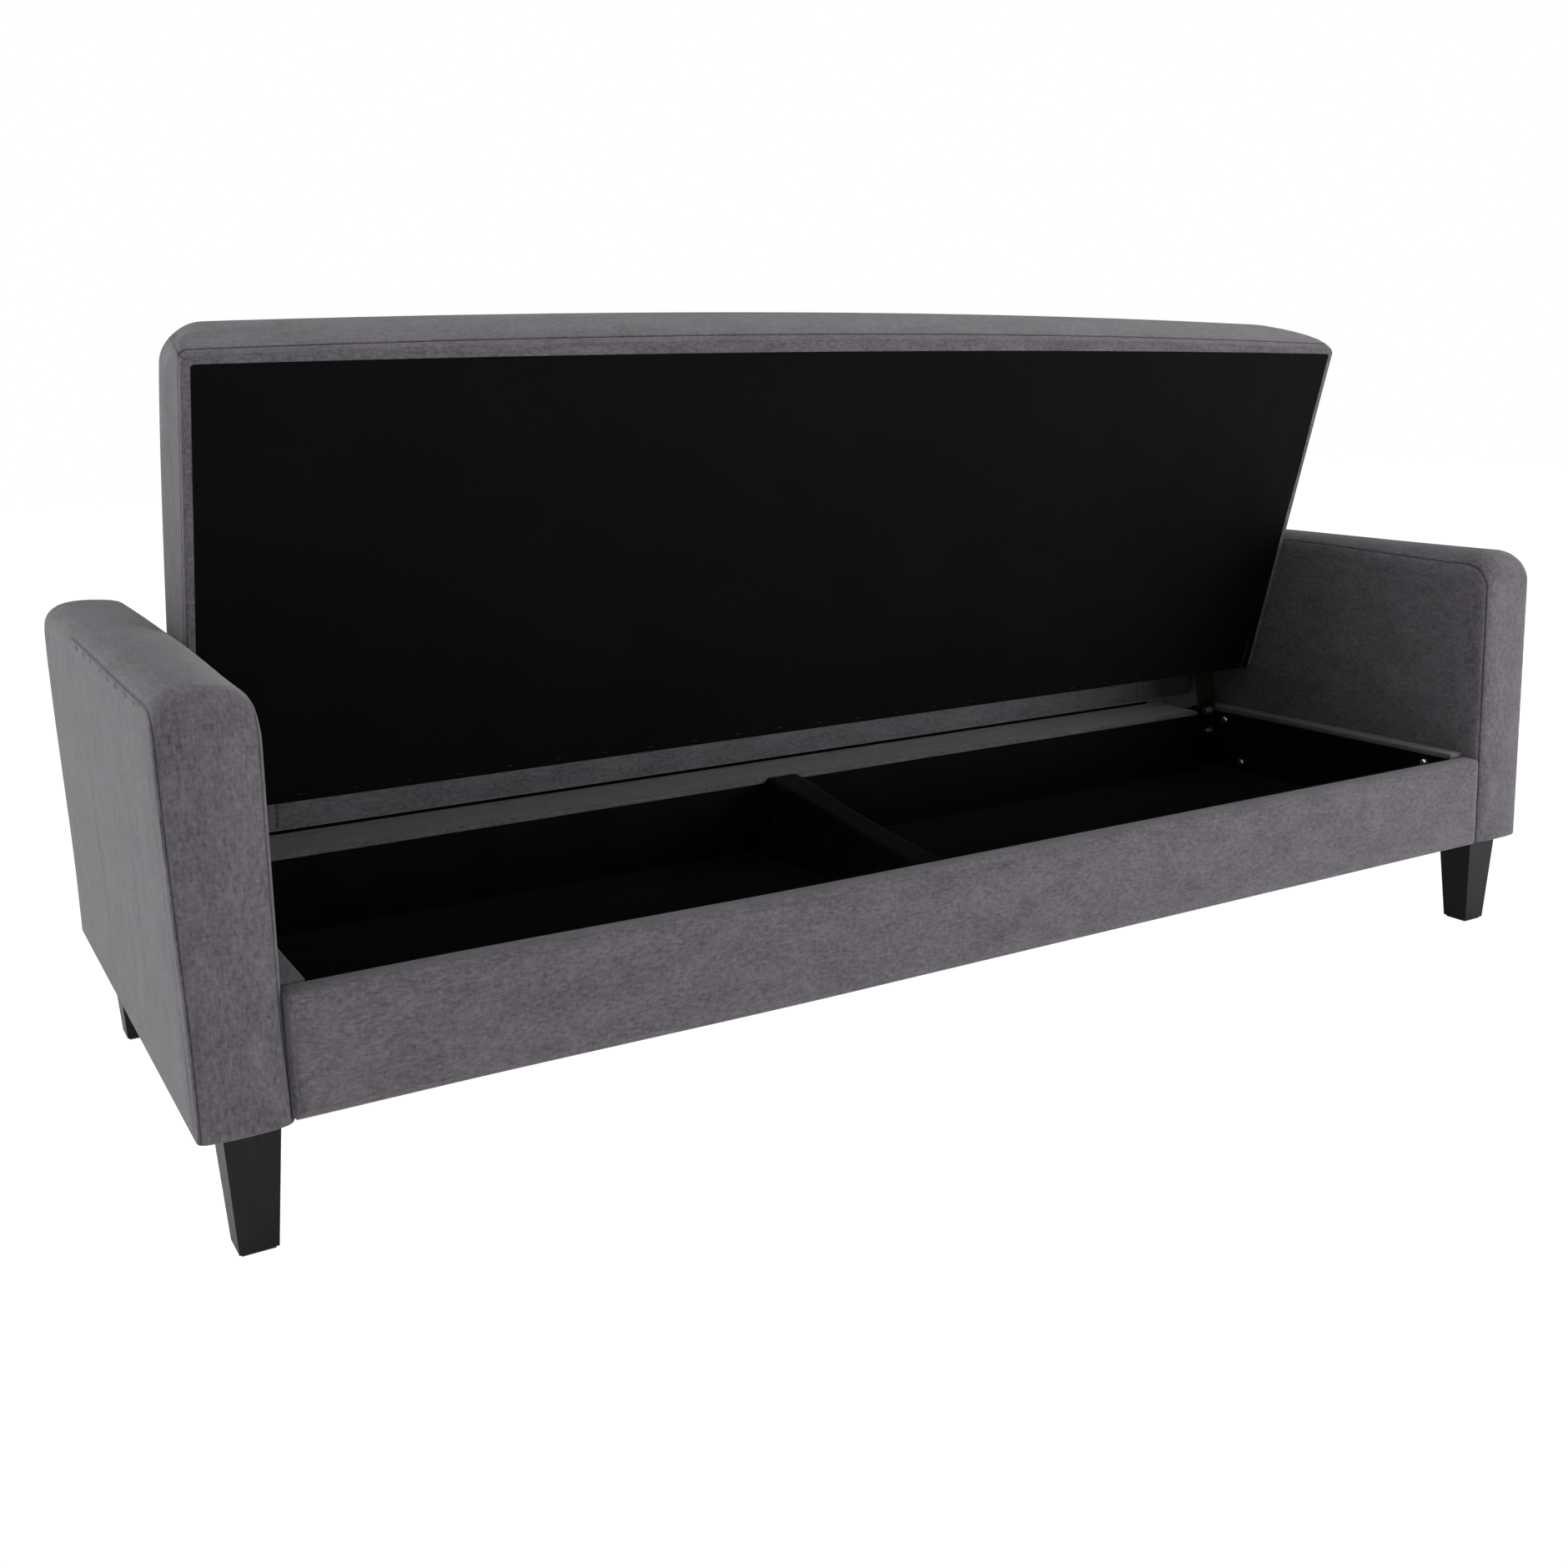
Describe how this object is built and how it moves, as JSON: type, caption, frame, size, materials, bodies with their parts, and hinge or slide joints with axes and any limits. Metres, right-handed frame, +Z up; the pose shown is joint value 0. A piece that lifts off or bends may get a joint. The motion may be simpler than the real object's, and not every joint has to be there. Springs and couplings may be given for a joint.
{
  "type": "sofa bed",
  "caption": "Grey fabric sofa bed with padded arms, a lift-up seat over a lined storage box, a reclining back and black tapered legs.",
  "frame": {"origin": "middle of the footprint at rest, on the floor", "axes": "+X along the sofa to the sitter's left, +Y from the front to the rear, +Z up"},
  "size_m": [2.112, 1.095, 1.0097],
  "materials": {
    "grey_fabric": "heathered grey woven upholstery",
    "black_cloth": "black non-woven cloth",
    "foam": "polyurethane foam",
    "webbing": "elastic webbing",
    "black_wood": "black lacquered beech",
    "frame_wood": "planed pine",
    "hardboard": "hardboard",
    "glide_plastic": "black glide",
    "washer_plastic": "nylon washer",
    "black_steel": "black painted steel",
    "yellow_zinc": "yellow passivated zinc on steel",
    "zinc_steel": "zinc plated steel",
    "bright_zinc": "bright zinc plated fastener"
  },
  "bodies": {
    "base": {"arm_bolts": "bright_zinc", "beam_cloth": "black_cloth", "bracket_bolts": "bright_zinc", "catch_pins": "bright_zinc", "centre_beam": "frame_wood", "floor_battens": "frame_wood", "front_left_leg": "black_wood", "front_rail_board": "frame_wood", "front_rail_cover": "grey_fabric", "front_right_leg": "black_wood", "left_arm_cover": "grey_fabric", "left_arm_frame": "frame_wood", "left_floor_panel": "hardboard", "left_hinge_bracket": "yellow_zinc", "left_lining": "black_cloth", "left_side_board": "frame_wood", "left_side_cap": "grey_fabric", "leg_glides": "glide_plastic", "leg_plates": "black_steel", "leg_studs": "bright_zinc", "pivot_nuts": "bright_zinc", "pivot_pins": "bright_zinc", "pivot_washers": "washer_plastic", "rear_beam_back": "frame_wood", "rear_beam_cover": "grey_fabric", "rear_beam_front": "frame_wood", "rear_beam_top": "frame_wood", "rear_left_leg": "black_wood", "rear_right_leg": "black_wood", "rear_stretcher": "grey_fabric", "right_arm_cover": "grey_fabric", "right_arm_frame": "frame_wood", "right_floor_panel": "hardboard", "right_hinge_bracket": "yellow_zinc", "right_lining": "black_cloth", "right_side_board": "frame_wood", "right_side_cap": "grey_fabric"},
    "seat": {"left_seat_hinge_arm": "zinc_steel", "right_seat_hinge_arm": "zinc_steel", "seat_arm_screws": "bright_zinc", "seat_cover": "grey_fabric", "seat_cross_rails": "frame_wood", "seat_dust_cover": "black_cloth", "seat_foam": "foam", "seat_long_rails": "frame_wood", "seat_webbing": "webbing"},
    "back": {"back_arm_screws": "bright_zinc", "back_cover": "grey_fabric", "back_cross_rails": "frame_wood", "back_foam": "foam", "back_long_rails": "frame_wood", "back_panel": "grey_fabric", "back_webbing": "webbing", "left_back_hinge_arm": "zinc_steel", "right_back_hinge_arm": "zinc_steel"},
    "left_catch": {"left_catch": "zinc_steel"},
    "right_catch": {"right_catch": "zinc_steel"}
  },
  "joints": [
    {"name": "seat_lift", "type": "hinge", "parent": "base", "child": "seat", "pos_m": [0, 0.0485, 0.405], "axis": [1, 0, 0], "range_deg": [0, 73.4]},
    {"name": "back_recline", "type": "hinge", "parent": "base", "child": "back", "pos_m": [0, 0.1075, 0.44], "axis": [1, 0, 0], "range_deg": [0, 77]},
    {"name": "left_catch_swing", "type": "hinge", "parent": "base", "child": "left_catch", "pos_m": [0, 0.0485, 0.357], "axis": [1, 0, 0], "range_deg": [0, 6]},
    {"name": "right_catch_swing", "type": "hinge", "parent": "base", "child": "right_catch", "pos_m": [0, 0.0485, 0.357], "axis": [1, 0, 0], "range_deg": [0, 6]}
  ],
  "couplings": [
    {"joint": "right_catch_swing", "follows": "left_catch_swing", "ratio": 1}
  ]
}
